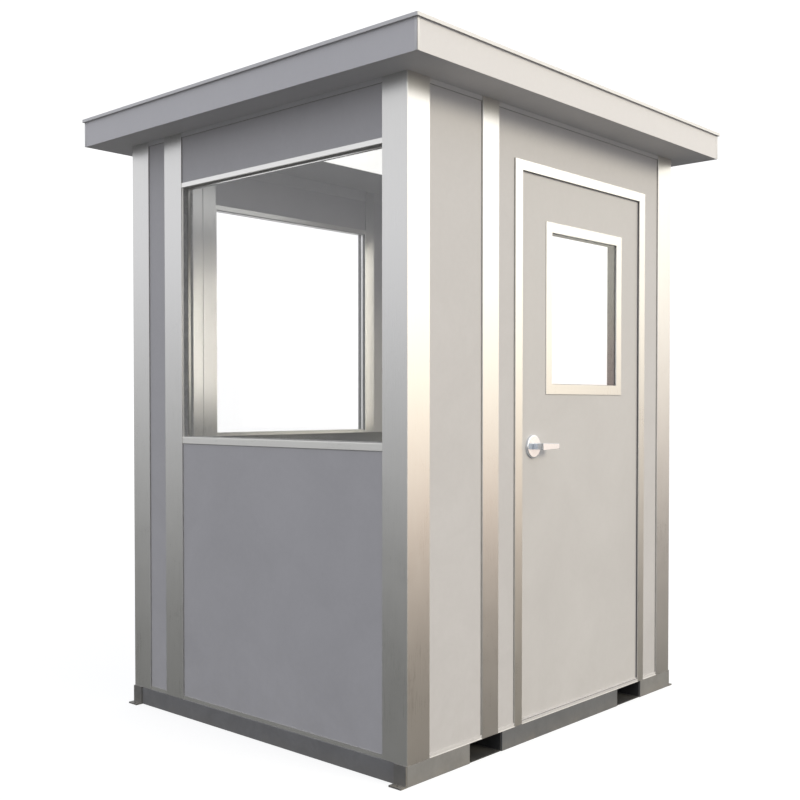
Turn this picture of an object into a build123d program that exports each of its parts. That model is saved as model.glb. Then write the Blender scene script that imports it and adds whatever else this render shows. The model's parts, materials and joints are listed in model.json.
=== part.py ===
"""Security guard booth: a small prefabricated steel building on a fork-pocket base.

Frame: X to the right along the window wall, Y from the window wall to the back wall, Z up.
The window wall faces -Y, the door wall faces +X. The origin is on the ground at the middle
of the booth. All sizes are millimetres.
"""

import os

from build123d import *

os.makedirs("parts", exist_ok=True)

# ---------------------------------------------------------------- driving dimensions
body_width = 1600
body_depth = 1802
base_height = 74
soffit_height = 2414
roof_thickness = 118
roof_side_overhang = 160
roof_end_overhang = 131

# walls, measured inwards from the outer face of the corner posts
frame_depth = 61
panel_setback = 6
panel_thickness = 50
post_width = 117
post_corner_radius = 4
pressed_edge = 1
cover_edge = 1.5
groove_width = 4
groove_depth = 3

# horizontal lines round the walls
bottom_channel_height = 14
top_channel_height = 17
top_channel_leg = 52
channel_setback = 3
channel_leg_thickness = 3
sill_bottom = 1138
sill_height = 27
head_bottom = 2190
head_height = 20

# windows
jamb_thickness = 4
jamb_setback = 8
glass_depth = 27
glass_thickness = 6
bead_lip = 3
bead_depth = 12
sill_nose = 3
sill_nose_radius = 3

# door and its frame
door_near = -244
door_far = 622
door_head = 2186
frame_face = 47
frame_head_face = 40
frame_lip = 4
leaf_overlap = 8
hinge_side_overlap = 10
leaf_setback = 10
leaf_thickness = 44
leaf_gap = 5
latch_gap = 7
leaf_bottom = 85
hinge_axis_standoff = 6

# lever set
lever_y = -166
lever_z = 1136
rosette_radius = 44.5
rosette_thickness = 10
spindle_radius = 6
spindle_bore = 7
lever_reach = 59
lever_length = 108
lever_root_height = 27
lever_tip_height = 20
lever_bar_thickness = 12
lever_neck_width = 20
lever_neck_height = 22
lever_gap = 1

# door lite
lite_near = -79
lite_far = 484
lite_bottom = 1338
lite_top = 2015
lite_member = 37
lite_proud = 3

# base
rail_web = 6
rail_flange = 80
rail_edge_radius = 3
pocket_width = 194
pocket_centres = (-466, 548)
pocket_wall = 4
pocket_recess = 6
deck_thickness = 5

# anchor clips
clip_width = 56
clip_thickness = 6
clip_foot = 32
clip_hole_radius = 5.5
clip_end_gap = 1

# roof
cap_lip = 13
cap_proud = 9
cap_thickness = 3
fascia_thickness = 3
fascia_corner_radius = 3
cap_corner_radius = 4
cap_edge = 1.5
soffit_thickness = 6
light_width = 610
light_length = 1219
light_depth = 32
light_edge = 8

half_width = body_width / 2
half_depth = body_depth / 2
panel_back = panel_setback + panel_thickness
panel_bottom = base_height + bottom_channel_height
panel_top = soffit_height - top_channel_height


# ---------------------------------------------------------------- helpers
def block(x0, x1, y0, y1, z0, z1):
    """A rectangular block between two corners."""
    size = (x1 - x0, y1 - y0, z1 - z0)
    middle = ((x0 + x1) / 2, (y0 + y1) / 2, (z0 + z1) / 2)
    return Pos(*middle) * Box(*size)


def wall_block(wall, a0, a1, d0, d1, z0, z1):
    """A block in a wall: a runs along it, d goes inwards from the outer face."""
    if wall == "front":
        return block(a0, a1, -half_depth + d0, -half_depth + d1, z0, z1)
    if wall == "back":
        return block(a0, a1, half_depth - d1, half_depth - d0, z0, z1)
    if wall == "left":
        return block(-half_width + d0, -half_width + d1, a0, a1, z0, z1)
    return block(half_width - d1, half_width - d0, a0, a1, z0, z1)


def wall_panel(wall, a0, a1, z0, z1):
    """An insulated wall panel between two uprights."""
    return wall_block(wall, a0, a1, panel_setback, panel_back, z0, z1)


def save(name, shape):
    """Write one sub-part."""
    export_step(shape, f"parts/{name}.step")


def outer_face(shape, wall):
    """The face of a piece that looks out of the booth."""
    across = Axis.Y if wall in ("front", "back") else Axis.X
    last = wall in ("back", "right")
    return shape.faces().sort_by(across)[-1 if last else 0]


def wall_axis(wall):
    """The axis that runs along a wall."""
    return Axis.X if wall in ("front", "back") else Axis.Y


def farthest_uprights(shape):
    """The four upright edges at the corners of a plan."""
    return shape.edges().filter_by(Axis.Z).sort_by_distance((0, 0, 0))[-4:]


# ---------------------------------------------------------------- layout of the uprights
end_batten = (-568, -452)
left_battens = ((-640, -494), (490, 636))
left_cores = ((-640, -494), (490, 552))
right_batten = (-491, -393)
post_inner_x = half_width - post_width
post_inner_y = half_depth - post_width

front_bay = (end_batten[1], post_inner_x)
left_bay = (left_battens[0][1], left_battens[1][0])
door_frame_span = (door_near - frame_face, door_far + frame_face)
door_frame_top = door_head + frame_head_face


# ---------------------------------------------------------------- base
pocket_edges = [(y - pocket_width / 2, y + pocket_width / 2) for y in pocket_centres]


def rail_ring():
    """A welded ring of steel channel, webs outwards, open where the fork pockets cross."""
    ring = block(-half_width, half_width, -half_depth, half_depth, 0, base_height)
    ring = fillet(farthest_uprights(ring), post_corner_radius)
    ring = fillet(ring.faces().sort_by(Axis.Z)[0].edges(), rail_edge_radius)
    ring = fillet(ring.faces().sort_by(Axis.Z)[-1].edges(), rail_edge_radius)
    web_x = half_width - rail_web
    web_y = half_depth - rail_web
    ring -= block(-web_x, web_x, -web_y, web_y, rail_web, base_height - rail_web)
    open_x = half_width - rail_flange
    open_y = half_depth - rail_flange
    ring -= block(-open_x, open_x, -open_y, open_y, 0, base_height)
    for y0, y1 in pocket_edges:
        ring -= block(-half_width, half_width, y0, y1, 0, base_height)
    return ring


lengths = rail_ring().solids().sort_by(Axis.Y)
save("base_end_rails", Compound([lengths[0], lengths[-1]]))
save("base_side_rails", Compound(lengths[1:-1]))

pocket_end = half_width - pocket_recess
pockets = []
for y0, y1 in pocket_edges:
    tube = block(-pocket_end, pocket_end, y0, y1, 0, base_height)
    bore = block(-pocket_end, pocket_end, y0 + pocket_wall, y1 - pocket_wall,
                 pocket_wall, base_height - pocket_wall)
    pockets.append(tube - bore)
save("fork_pockets", Compound(pockets))

deck_x = half_width - frame_depth
deck_y = half_depth - frame_depth
deck_top = base_height + deck_thickness
save("floor_deck", block(-deck_x, deck_x, -deck_y, deck_y, base_height, deck_top))


def anchor_clip(x_side, y_side):
    """An angle bolted to the end rail, its foot on the ground with one anchor hole."""
    x_outer = x_side * (half_width - clip_end_gap)
    x_inner = x_outer - x_side * clip_width
    x0, x1 = sorted((x_outer, x_inner))
    y_face = y_side * half_depth
    y0, y1 = sorted((y_face, y_face + y_side * clip_thickness))
    leg = block(x0, x1, y0, y1, 0, base_height)
    y0, y1 = sorted((y_face, y_face + y_side * clip_foot))
    foot = block(x0, x1, y0, y1, 0, clip_thickness)
    hole_y = y_face + y_side * (clip_foot + clip_thickness) / 2
    hole = Pos((x0 + x1) / 2, hole_y, clip_thickness / 2)
    return leg + foot - hole * Cylinder(clip_hole_radius, 2 * clip_thickness)


corners = {
    "front_left": (-1, -1),
    "front_right": (1, -1),
    "back_left": (-1, 1),
    "back_right": (1, 1),
}
save("anchor_clips", Compound([anchor_clip(*signs) for signs in corners.values()]))


# ---------------------------------------------------------------- corner posts
def corner_post(x_side, y_side):
    """An L-shaped post, rounded on its outer corner."""
    x_outer = x_side * half_width
    y_outer = y_side * half_depth
    x0, x1 = sorted((x_outer, x_outer - x_side * post_width))
    y0, y1 = sorted((y_outer, y_outer - y_side * post_width))
    square = block(x0, x1, y0, y1, base_height, soffit_height)
    xi0, xi1 = sorted((x_outer - x_side * frame_depth, x_outer - x_side * post_width))
    yi0, yi1 = sorted((y_outer - y_side * frame_depth, y_outer - y_side * post_width))
    post = square - block(xi0, xi1, yi0, yi1, base_height, soffit_height)
    uprights = post.edges().filter_by(Axis.Z)
    wall_ends = [
        uprights.sort_by_distance((x_outer, y_outer - y_side * post_width, 0))[0],
        uprights.sort_by_distance((x_outer - x_side * post_width, y_outer, 0))[0],
    ]
    post = chamfer(wall_ends, cover_edge)
    corner = post.edges().filter_by(Axis.Z).sort_by_distance((x_outer, y_outer, 0))[0]
    return fillet(corner, post_corner_radius)


for name, signs in corners.items():
    save(f"corner_post_{name}", corner_post(*signs))


# ---------------------------------------------------------------- battens
def cover_strip(wall, a0, a1):
    """A flat strip over a joint, level with the outer faces of the posts."""
    strip = wall_block(wall, a0, a1, 0, panel_setback, base_height, soffit_height)
    return chamfer(outer_face(strip, wall).edges().filter_by(Axis.Z), cover_edge)


def batten(wall, cover, core):
    """A cover strip on an upright core, with a joint line on the inner face of a full core."""
    strip = cover_strip(wall, *cover)
    bar = strip + wall_block(wall, *core, panel_setback, frame_depth, base_height, soffit_height)
    if core != cover:
        return bar
    middle = (core[0] + core[1]) / 2
    groove = wall_block(wall, middle - groove_width / 2, middle + groove_width / 2,
                        frame_depth - groove_depth, frame_depth, base_height, soffit_height)
    return bar - groove


end_bars = [batten(wall, end_batten, end_batten) for wall in ("front", "back")]
save("end_battens", Compound(end_bars))
save("right_batten", batten("right", right_batten, right_batten))
left_bars = [batten("left", *pair) for pair in zip(left_battens, left_cores)]
save("left_battens", Compound(left_bars))


# ---------------------------------------------------------------- window walls
def window_frame(wall, a0, a1):
    """Head, sill, jamb liners and the inner glazing bead of one window, as one frame."""
    head_top = head_bottom + head_height
    sill_top = sill_bottom + sill_height
    sill = wall_block(wall, a0, a1, sill_nose, frame_depth, sill_bottom, sill_top)
    head = wall_block(wall, a0, a1, sill_nose, frame_depth, head_bottom, head_top)
    along = wall_axis(wall)
    nose_edge = outer_face(sill, wall).edges().filter_by(along).sort_by(Axis.Z)[-1]
    sill = fillet(nose_edge, sill_nose_radius)
    head = chamfer(outer_face(head, wall).edges().filter_by(along), pressed_edge)
    jambs = []
    for j0, j1 in ((a0, a0 + jamb_thickness), (a1 - jamb_thickness, a1)):
        jambs.append(wall_block(wall, j0, j1, jamb_setback, frame_depth, sill_top, head_bottom))
    bead_start = glass_depth + glass_thickness
    b0 = a0 + jamb_thickness
    b1 = a1 - jamb_thickness
    bead = wall_block(wall, b0, b1, bead_start, bead_start + bead_depth, sill_top, head_bottom)
    bead -= wall_block(wall, b0 + bead_lip, b1 - bead_lip, bead_start, bead_start + bead_depth,
                       sill_top + bead_lip, head_bottom - bead_lip)
    return sill + head + jambs[0] + jambs[1] + bead


def window_glass(wall, a0, a1):
    """The fixed pane, held between the jamb liners."""
    return wall_block(wall, a0 + jamb_thickness, a1 - jamb_thickness, glass_depth,
                      glass_depth + glass_thickness, sill_bottom + sill_height, head_bottom)


for wall, bay in (("front", front_bay), ("back", front_bay), ("left", left_bay)):
    save(f"{wall}_lower_panel", wall_panel(wall, *bay, panel_bottom, sill_bottom))
    save(f"{wall}_header_panel", wall_panel(wall, *bay, head_bottom + head_height, panel_top))
    save(f"{wall}_window_frame", window_frame(wall, *bay))
    save(f"{wall}_window_glass", window_glass(wall, *bay))

for wall in ("front", "back"):
    side_panel = wall_panel(wall, -post_inner_x, end_batten[0], panel_bottom, panel_top)
    save(f"{wall}_side_panel", side_panel)

left_side = []
for a0, a1 in ((-post_inner_y, left_cores[0][0]), (left_cores[1][1], post_inner_y)):
    left_side.append(wall_panel("left", a0, a1, panel_bottom, panel_top))
save("left_side_panels", Compound(left_side))

# ---------------------------------------------------------------- door wall
right_side_spans = [
    (-post_inner_y, right_batten[0]),
    (right_batten[1], door_frame_span[0]),
    (door_frame_span[1], post_inner_y),
]
right_side = [wall_panel("right", *span, panel_bottom, panel_top) for span in right_side_spans]
save("right_side_panels", Compound(right_side))
save("right_header_panel", wall_panel("right", *door_frame_span, door_frame_top, panel_top))

leaf_near = door_near - leaf_overlap
leaf_far = door_far + hinge_side_overlap
leaf_top = door_head + leaf_overlap
leaf_back = leaf_setback + leaf_thickness
jamb_near = leaf_near - latch_gap
jamb_far = leaf_far + leaf_gap
jamb_top = leaf_top + leaf_gap


def door_frame():
    """Pressed metal frame: a thin lip outside, and jambs that the leaf closes into."""
    span = door_frame_span
    lip = wall_block("right", *span, 0, frame_lip, base_height, door_frame_top)
    lip -= wall_block("right", door_near, door_far, 0, frame_lip, base_height, door_head)
    lip = chamfer(outer_face(lip, "right").edges(), pressed_edge)
    lining = wall_block("right", *span, frame_lip, leaf_back, base_height, door_frame_top)
    lining -= wall_block("right", jamb_near, jamb_far, frame_lip, leaf_back,
                         base_height, jamb_top)
    return lip + lining


save("door_frame", door_frame())


def threshold():
    """A sill plate across the doorway with a low lip on its outer edge."""
    plate = wall_block("right", jamb_near, jamb_far, frame_lip, frame_depth,
                       base_height, deck_top)
    lip = wall_block("right", door_near, door_far, 0, frame_lip, base_height, leaf_bottom + 1)
    return plate + lip


save("door_threshold", threshold())


# ---------------------------------------------------------------- channels round the walls
def channel_spans(door_gap):
    """The runs between uprights on each wall."""
    spans = []
    for wall in ("front", "back"):
        spans.append((wall, -post_inner_x, end_batten[0]))
        spans.append((wall, *front_bay))
    spans.append(("left", -post_inner_y, left_cores[0][0]))
    spans.append(("left", *left_bay))
    spans.append(("left", left_cores[1][1], post_inner_y))
    spans.append(("right", *right_side_spans[0]))
    if door_gap:
        spans.append(("right", *right_side_spans[1]))
        spans.append(("right", *right_side_spans[2]))
    else:
        spans.append(("right", right_batten[1], post_inner_y))
    return spans


covered = cover_strip("left", *left_battens[1])
bottom_channels = []
for wall, a0, a1 in channel_spans(door_gap=True):
    channel = wall_block(wall, a0, a1, channel_setback, panel_back, base_height, panel_bottom)
    bottom_channels.append(channel - covered)
save("bottom_channels", Compound(bottom_channels))

top_channels = []
for wall, a0, a1 in channel_spans(door_gap=False):
    web = wall_block(wall, a0, a1, channel_setback, panel_back, panel_top, soffit_height)
    leg = wall_block(wall, a0, a1, panel_back, panel_back + channel_leg_thickness,
                     soffit_height - top_channel_leg, soffit_height)
    top_channels.append(web + leg - covered)
save("top_channels", Compound(top_channels))


# ---------------------------------------------------------------- door leaf
def door_x(depth):
    """X of a depth behind the outer face of the door wall."""
    return half_width - depth


lite_cut_near = lite_near + lite_member
lite_cut_far = lite_far - lite_member
lite_cut_bottom = lite_bottom + lite_member
lite_cut_top = lite_top - lite_member


def door_leaf():
    """Flush metal leaf with an opening for the lite and a bore for the spindle."""
    leaf = wall_block("right", leaf_near, leaf_far, leaf_setback, leaf_back,
                      leaf_bottom, leaf_top)
    faces = leaf.faces().sort_by(Axis.X)
    leaf = chamfer(faces[0].edges() + faces[-1].edges(), pressed_edge)
    leaf -= wall_block("right", lite_cut_near, lite_cut_far, leaf_setback, leaf_back,
                       lite_cut_bottom, lite_cut_top)
    middle = door_x(leaf_setback + leaf_thickness / 2)
    bore = Pos(middle, lever_y, lever_z) * Rot(0, 90, 0) * Cylinder(spindle_bore, leaf_thickness)
    return leaf - bore


save("door_leaf", door_leaf())


def lite_frame():
    """Flat frames on both faces of the leaf, joined by a thin liner in the opening."""
    liner = jamb_thickness
    rings = wall_block("right", lite_near, lite_far, leaf_setback - lite_proud, leaf_setback,
                       lite_bottom, lite_top)
    rings += wall_block("right", lite_near, lite_far, leaf_back, leaf_back + lite_proud,
                        lite_bottom, lite_top)
    rings += wall_block("right", lite_cut_near, lite_cut_far, leaf_setback, leaf_back,
                        lite_cut_bottom, lite_cut_top)
    opening = wall_block("right", lite_cut_near + liner, lite_cut_far - liner,
                         leaf_setback - lite_proud, leaf_back + lite_proud,
                         lite_cut_bottom + liner, lite_cut_top - liner)
    frame = rings - opening
    faces = frame.faces().sort_by(Axis.X)
    return chamfer(faces[0].edges() + faces[-1].edges(), pressed_edge)


save("door_lite_frame", lite_frame())
lite_glass_start = leaf_setback + 2
lite_glass = wall_block("right", lite_cut_near + jamb_thickness, lite_cut_far - jamb_thickness,
                        lite_glass_start, lite_glass_start + glass_thickness,
                        lite_cut_bottom + jamb_thickness, lite_cut_top - jamb_thickness)
save("door_lite_glass", lite_glass)


# ---------------------------------------------------------------- lever set
def along_x(radius, x0, x1):
    """A round bar along X through the spindle line."""
    return Pos((x0 + x1) / 2, lever_y, lever_z) * Rot(0, 90, 0) * Cylinder(radius, abs(x1 - x0))


leaf_outside = door_x(leaf_setback)
leaf_inside = door_x(leaf_back)


def rosette(face, outwards):
    """A round cover plate with a softened rim and a hole for the spindle."""
    end = face + outwards * rosette_thickness
    plate = along_x(rosette_radius, face, end)
    rim = plate.edges().filter_by(GeomType.CIRCLE).sort_by(Axis.X)[-1 if outwards > 0 else 0]
    plate = fillet(rim, rosette_thickness * 0.4)
    return plate - along_x(spindle_bore, face, end)


save("lever_rosettes", Compound([rosette(leaf_outside, 1), rosette(leaf_inside, -1)]))


def lever(face, outwards):
    """A square lever: a neck straight out of the door and a tapered bar along it."""
    root = face + outwards * (rosette_thickness + lever_gap)
    tip_face = face + outwards * lever_reach
    bar_back = tip_face - outwards * lever_bar_thickness
    x0, x1 = sorted((root, tip_face))
    neck = block(x0, x1, lever_y - lever_neck_width / 2, lever_y + lever_neck_width / 2,
                 lever_z - lever_neck_height / 2, lever_z + lever_neck_height / 2)
    start = lever_y - lever_neck_width / 2
    end = start + lever_length
    profile = Polyline(
        (start, lever_z - lever_root_height / 2),
        (end, lever_z - lever_tip_height / 2),
        (end, lever_z + lever_tip_height / 2),
        (start, lever_z + lever_root_height / 2),
        close=True,
    )
    face_yz = Plane.YZ * make_face(profile)
    bar = extrude(face_yz, amount=lever_bar_thickness)
    bar = Pos(min(bar_back, tip_face), 0, 0) * bar
    return neck + chamfer(bar.edges(), 1)


spindle = along_x(spindle_radius, leaf_inside - rosette_thickness - lever_gap,
                  leaf_outside + rosette_thickness + lever_gap)
save("lever_handle", lever(leaf_outside, 1) + spindle + lever(leaf_inside, -1))

# ---------------------------------------------------------------- hinges
hinge_x = leaf_inside - hinge_axis_standoff
hinge_y = (leaf_far + jamb_far) / 2
hinge_height = 100
hinge_levels = (300, 1130, 1960)
knuckle_radius = 6
knuckle_count = 5
knuckle_gap = 0.5
pin_radius = 3
pin_bore = 3.4
hinge_plate_width = 27
hinge_plate_thickness = 3


def knuckle_span(level, index):
    """Bottom and top of one knuckle."""
    pitch = hinge_height / knuckle_count
    bottom = level - hinge_height / 2 + index * pitch
    return bottom, bottom + pitch - knuckle_gap


def barrel(radius, z0, z1):
    """A round piece on the hinge axis."""
    return Pos(hinge_x, hinge_y, (z0 + z1) / 2) * Cylinder(radius, z1 - z0)


def hinge_half(level, side, indices, bore):
    """One plate with its knuckles. side is -1 for the leaf and +1 for the frame."""
    bottom = level - hinge_height / 2
    top = level + hinge_height / 2
    plate_start = hinge_y + side * (knuckle_radius + 1)
    plate_end = plate_start + side * hinge_plate_width
    y0, y1 = sorted((plate_start, plate_end))
    x0 = leaf_inside - hinge_plate_thickness
    half = block(x0, leaf_inside, y0, y1, bottom, top)
    for index in indices:
        z0, z1 = knuckle_span(level, index)
        y0, y1 = sorted((hinge_y, plate_start))
        half += barrel(knuckle_radius, z0, z1)
        half += block(x0, leaf_inside, y0, y1, z0, z1)
    if bore:
        return half - barrel(pin_bore, bottom, top)
    return half + barrel(pin_radius, bottom, top)


leaf_halves = [hinge_half(level, -1, (1, 3), True) for level in hinge_levels]
frame_halves = [hinge_half(level, 1, (0, 2, 4), False) for level in hinge_levels]
save("hinge_leaf_halves", Compound(leaf_halves))
save("hinge_frame_halves", Compound(frame_halves))

# ---------------------------------------------------------------- roof
roof_x = half_width + roof_side_overhang
roof_y = half_depth + roof_end_overhang
roof_top = soffit_height + roof_thickness
fascia_top = roof_top - cap_thickness
core_x = roof_x - fascia_thickness
core_y = roof_y - fascia_thickness
core_bottom = soffit_height + soffit_thickness

save("roof_soffit", block(-core_x, core_x, -core_y, core_y, soffit_height, core_bottom))
save("roof_core", block(-core_x, core_x, -core_y, core_y, core_bottom, fascia_top))
fascia = block(-roof_x, roof_x, -roof_y, roof_y, soffit_height, fascia_top)
fascia = fillet(farthest_uprights(fascia), fascia_corner_radius)
fascia -= block(-core_x, core_x, -core_y, core_y, soffit_height, fascia_top)
save("roof_fascia", fascia)

cap_x = roof_x + cap_proud
cap_y = roof_y + cap_proud
lip_inner = cap_proud - cap_thickness
cap = block(-cap_x, cap_x, -cap_y, cap_y, roof_top - cap_lip, roof_top)
cap = fillet(farthest_uprights(cap), cap_corner_radius)
cap = chamfer(cap.faces().sort_by(Axis.Z)[-1].edges(), cap_edge)
cap -= block(-roof_x - lip_inner, roof_x + lip_inner, -roof_y - lip_inner, roof_y + lip_inner,
             roof_top - cap_lip, fascia_top)
save("roof_cap", cap)

light = block(-light_width / 2, light_width / 2, -light_length / 2, light_length / 2,
              soffit_height - light_depth, soffit_height)
light = chamfer(light.faces().sort_by(Axis.Z)[0].edges(), light_edge)
save("ceiling_light", light)
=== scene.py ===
import json
import math

import bmesh
import bpy
from mathutils import Matrix, Vector


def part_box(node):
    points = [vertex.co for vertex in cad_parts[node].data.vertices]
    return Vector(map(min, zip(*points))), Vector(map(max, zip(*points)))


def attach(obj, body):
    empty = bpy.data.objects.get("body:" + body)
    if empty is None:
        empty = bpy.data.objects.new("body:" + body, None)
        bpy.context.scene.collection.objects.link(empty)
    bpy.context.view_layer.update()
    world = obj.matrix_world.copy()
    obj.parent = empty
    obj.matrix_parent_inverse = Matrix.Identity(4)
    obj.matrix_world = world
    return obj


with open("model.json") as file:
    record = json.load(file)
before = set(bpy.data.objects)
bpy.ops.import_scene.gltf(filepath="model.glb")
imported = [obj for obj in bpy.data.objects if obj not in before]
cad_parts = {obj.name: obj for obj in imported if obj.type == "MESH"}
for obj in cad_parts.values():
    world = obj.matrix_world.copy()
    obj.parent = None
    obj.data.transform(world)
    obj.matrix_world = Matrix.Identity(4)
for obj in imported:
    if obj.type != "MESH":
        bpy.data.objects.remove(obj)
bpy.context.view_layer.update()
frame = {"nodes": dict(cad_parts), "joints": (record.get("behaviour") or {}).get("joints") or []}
nodes = frame["nodes"]


# ---- Base rails -------------------------------------------------------------------------
# A welded ring of folded steel channel under the walls, cut where the fork pockets cross.
# Sprayed dark grey after welding, a little uneven and dusty near the ground. The lengths
# between the pockets get a darker copy of the same paint, which is painted shade.

def chip(red, green, blue):
    """A paint chip's 0-255 values as the linear colour that a shader takes."""
    return tuple(((value / 255 + 0.055) / 1.055) ** 2.4 for value in (red, green, blue)) + (1.0,)


def add_node(tree, kind, inputs=None, **settings):
    """One shader node. Its inputs are plain values, or the sockets that feed them."""
    made = tree.nodes.new(kind)
    for name, value in settings.items():
        setattr(made, name, value)
    for name, value in (inputs or {}).items():
        if isinstance(value, bpy.types.NodeSocket):
            tree.links.new(value, made.inputs[name])
        else:
            made.inputs[name].default_value = value
    return made


def effect_group(name, inputs, outputs):
    """An empty node group with its named sockets, and its input and output nodes."""
    group = bpy.data.node_groups.new(name, "ShaderNodeTree")
    for label, kind in outputs:
        group.interface.new_socket(label, in_out="OUTPUT", socket_type=kind)
    for label, kind, value in inputs:
        socket = group.interface.new_socket(label, in_out="INPUT", socket_type=kind)
        socket.default_value = value
    return group, group.nodes.new("NodeGroupInput"), group.nodes.new("NodeGroupOutput")


def scaled_colour(tree, colour, factor):
    """A colour made lighter or darker by a factor that changes over the surface."""
    return add_node(tree, "ShaderNodeVectorMath", {0: colour, "Scale": factor}, operation="SCALE")


# Sprayed paint: soft cloudy patches, a finer unevenness, and the skin of the paint.
sprayed, given, made = effect_group(
    "sprayed_paint",
    [("Colour", "NodeSocketColor", (0.5, 0.5, 0.5, 1.0)),
     ("Patches per metre", "NodeSocketFloat", 3.0),
     ("Patch depth", "NodeSocketFloat", 0.05),
     ("Roughness", "NodeSocketFloat", 0.4)],
    [("Colour", "NodeSocketColor"), ("Roughness", "NodeSocketFloat"), ("Skin", "NodeSocketFloat")])
place = add_node(sprayed, "ShaderNodeTexCoord").outputs["Object"]
patches = add_node(sprayed, "ShaderNodeTexNoise", {
    "Vector": place, "Scale": given.outputs["Patches per metre"],
    "Detail": 6.0, "Roughness": 0.62, "Distortion": 0.6}).outputs["Fac"]
flecks = add_node(sprayed, "ShaderNodeTexNoise", {
    "Vector": place, "Scale": 55.0, "Detail": 3.0, "Roughness": 0.6}).outputs["Fac"]
skin = add_node(sprayed, "ShaderNodeTexNoise", {
    "Vector": place, "Scale": 420.0, "Detail": 2.0}).outputs["Fac"]
centred = add_node(sprayed, "ShaderNodeMapRange", {
    "Value": patches, "From Min": 0.32, "From Max": 0.68,
    "To Min": -1.0, "To Max": 1.0}).outputs["Result"]
centred_flecks = add_node(sprayed, "ShaderNodeMapRange", {
    "Value": flecks, "From Min": 0.3, "From Max": 0.7,
    "To Min": -0.3, "To Max": 0.3}).outputs["Result"]
summed = add_node(sprayed, "ShaderNodeMath", {0: centred, 1: centred_flecks}, operation="ADD")
lighter = add_node(sprayed, "ShaderNodeMath", {
    0: summed.outputs[0], 1: given.outputs["Patch depth"], 2: 1.0}, operation="MULTIPLY_ADD")
tinted = scaled_colour(sprayed, given.outputs["Colour"], lighter.outputs[0])
sprayed.links.new(tinted.outputs["Vector"], made.inputs["Colour"])
patch_dulling = 0.05
duller = add_node(sprayed, "ShaderNodeMath", {
    0: centred, 1: patch_dulling, 2: given.outputs["Roughness"]}, operation="MULTIPLY_ADD")
sprayed.links.new(duller.outputs[0], made.inputs["Roughness"])
sprayed.links.new(skin, made.inputs["Skin"])

# Dust that the rain splashes up: thick near the ground, gone by a given height.
splash, given, made = effect_group(
    "ground_splash",
    [("Top", "NodeSocketFloat", 0.3), ("Amount", "NodeSocketFloat", 0.5)],
    [("Mask", "NodeSocketFloat")])
place = add_node(splash, "ShaderNodeTexCoord").outputs["Object"]
height = add_node(splash, "ShaderNodeSeparateXYZ", {0: place}).outputs["Z"]
fade = add_node(splash, "ShaderNodeMapRange", {
    "Value": height, "From Min": 0.0, "From Max": given.outputs["Top"],
    "To Min": 1.0, "To Max": 0.0}, interpolation_type="SMOOTHSTEP").outputs["Result"]
spots = add_node(splash, "ShaderNodeTexNoise", {
    "Vector": place, "Scale": 14.0, "Detail": 5.0, "Roughness": 0.65}).outputs["Fac"]
spotted = add_node(splash, "ShaderNodeMapRange", {
    "Value": spots, "From Min": 0.35, "From Max": 0.75}).outputs["Result"]
thick = add_node(splash, "ShaderNodeMath", {0: fade, 1: spotted}, operation="MULTIPLY")
amount = add_node(splash, "ShaderNodeMath", {
    0: thick.outputs[0], 1: given.outputs["Amount"]}, operation="MULTIPLY")
splash.links.new(amount.outputs[0], made.inputs["Mask"])


def plain_material(name, metallic, specular=0.5):
    """A Principled material with its constants on the shader's own sockets."""
    material = bpy.data.materials.new(name)
    material.use_nodes = True
    shader = material.node_tree.nodes["Principled BSDF"]
    shader.inputs["Metallic"].default_value = metallic
    shader.inputs["Specular IOR Level"].default_value = specular
    return material, material.node_tree, shader


def bumped(tree, shader, height, strength, distance):
    """Feed a height through a Bump node into the shader's normal."""
    bump = add_node(tree, "ShaderNodeBump", {
        "Height": height, "Strength": strength, "Distance": distance})
    tree.links.new(bump.outputs["Normal"], shader.inputs["Normal"])


paint_relief = 0.0004


def painted(name, colour, roughness, patches=3.0, depth=0.05, skin=0.1, dust_top=0.0,
            dust_amount=0.4, specular=0.5):
    """Sprayed paint on steel, with some splashed dust where it comes near the ground."""
    material, tree, shader = plain_material(name, metallic=0.0, specular=specular)
    paint = add_node(tree, "ShaderNodeGroup", {
        "Colour": colour, "Patches per metre": patches, "Patch depth": depth,
        "Roughness": roughness}, node_tree=sprayed)
    colour_now = paint.outputs["Colour"]
    if dust_top:
        dust = add_node(tree, "ShaderNodeGroup", {
            "Top": dust_top, "Amount": dust_amount}, node_tree=splash)
        mixed = add_node(tree, "ShaderNodeMix", {
            0: dust.outputs["Mask"], 6: colour_now, 7: dust_colour}, data_type="RGBA")
        colour_now = mixed.outputs[2]
    tree.links.new(colour_now, shader.inputs["Base Color"])
    tree.links.new(paint.outputs["Roughness"], shader.inputs["Roughness"])
    bumped(tree, shader, paint.outputs["Skin"], skin, paint_relief)
    return material


def dress(material, *names):
    """Give CAD nodes their finish."""
    for name in names:
        nodes[name].data.materials.clear()
        nodes[name].data.materials.append(material)


dust_colour = chip(150, 143, 132)
# The darker shade of the lengths between the pockets is painted shade; the paint is the same.
for member, shade in (("side", chip(113, 114, 116)), ("end", chip(137, 136, 135))):
    rail_paint_and_shade = painted(f"{member}_rail_paint_and_shade", shade, 0.42, patches=9.0, depth=0.08,
                         skin=0.25, dust_top=0.06, dust_amount=0.35, specular=0.1)
    dress(rail_paint_and_shade, f"base_{member}_rails")


# ---- Fork pockets -----------------------------------------------------------------------
# Two box tubes of thin plate welded across the base for the tines of a fork-lift.
# Painted a very dark grey, darker than the rails as painted shade in the mouths, and patchier than the
# rails.

pocket_paint_and_shade = painted("pocket_paint_and_shade", chip(66, 66, 66), 0.5, patches=16.0, depth=0.16,
                       skin=0.4, dust_top=0.05, dust_amount=0.12, specular=0.2)
dress(pocket_paint_and_shade, "fork_pockets")


# ---- Anchor clips -----------------------------------------------------------------------
# Bent steel angles at the four corners of the base, with one anchor hole in each foot.
# Painted a grey close to that of the rails, and dusty like them.

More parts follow.
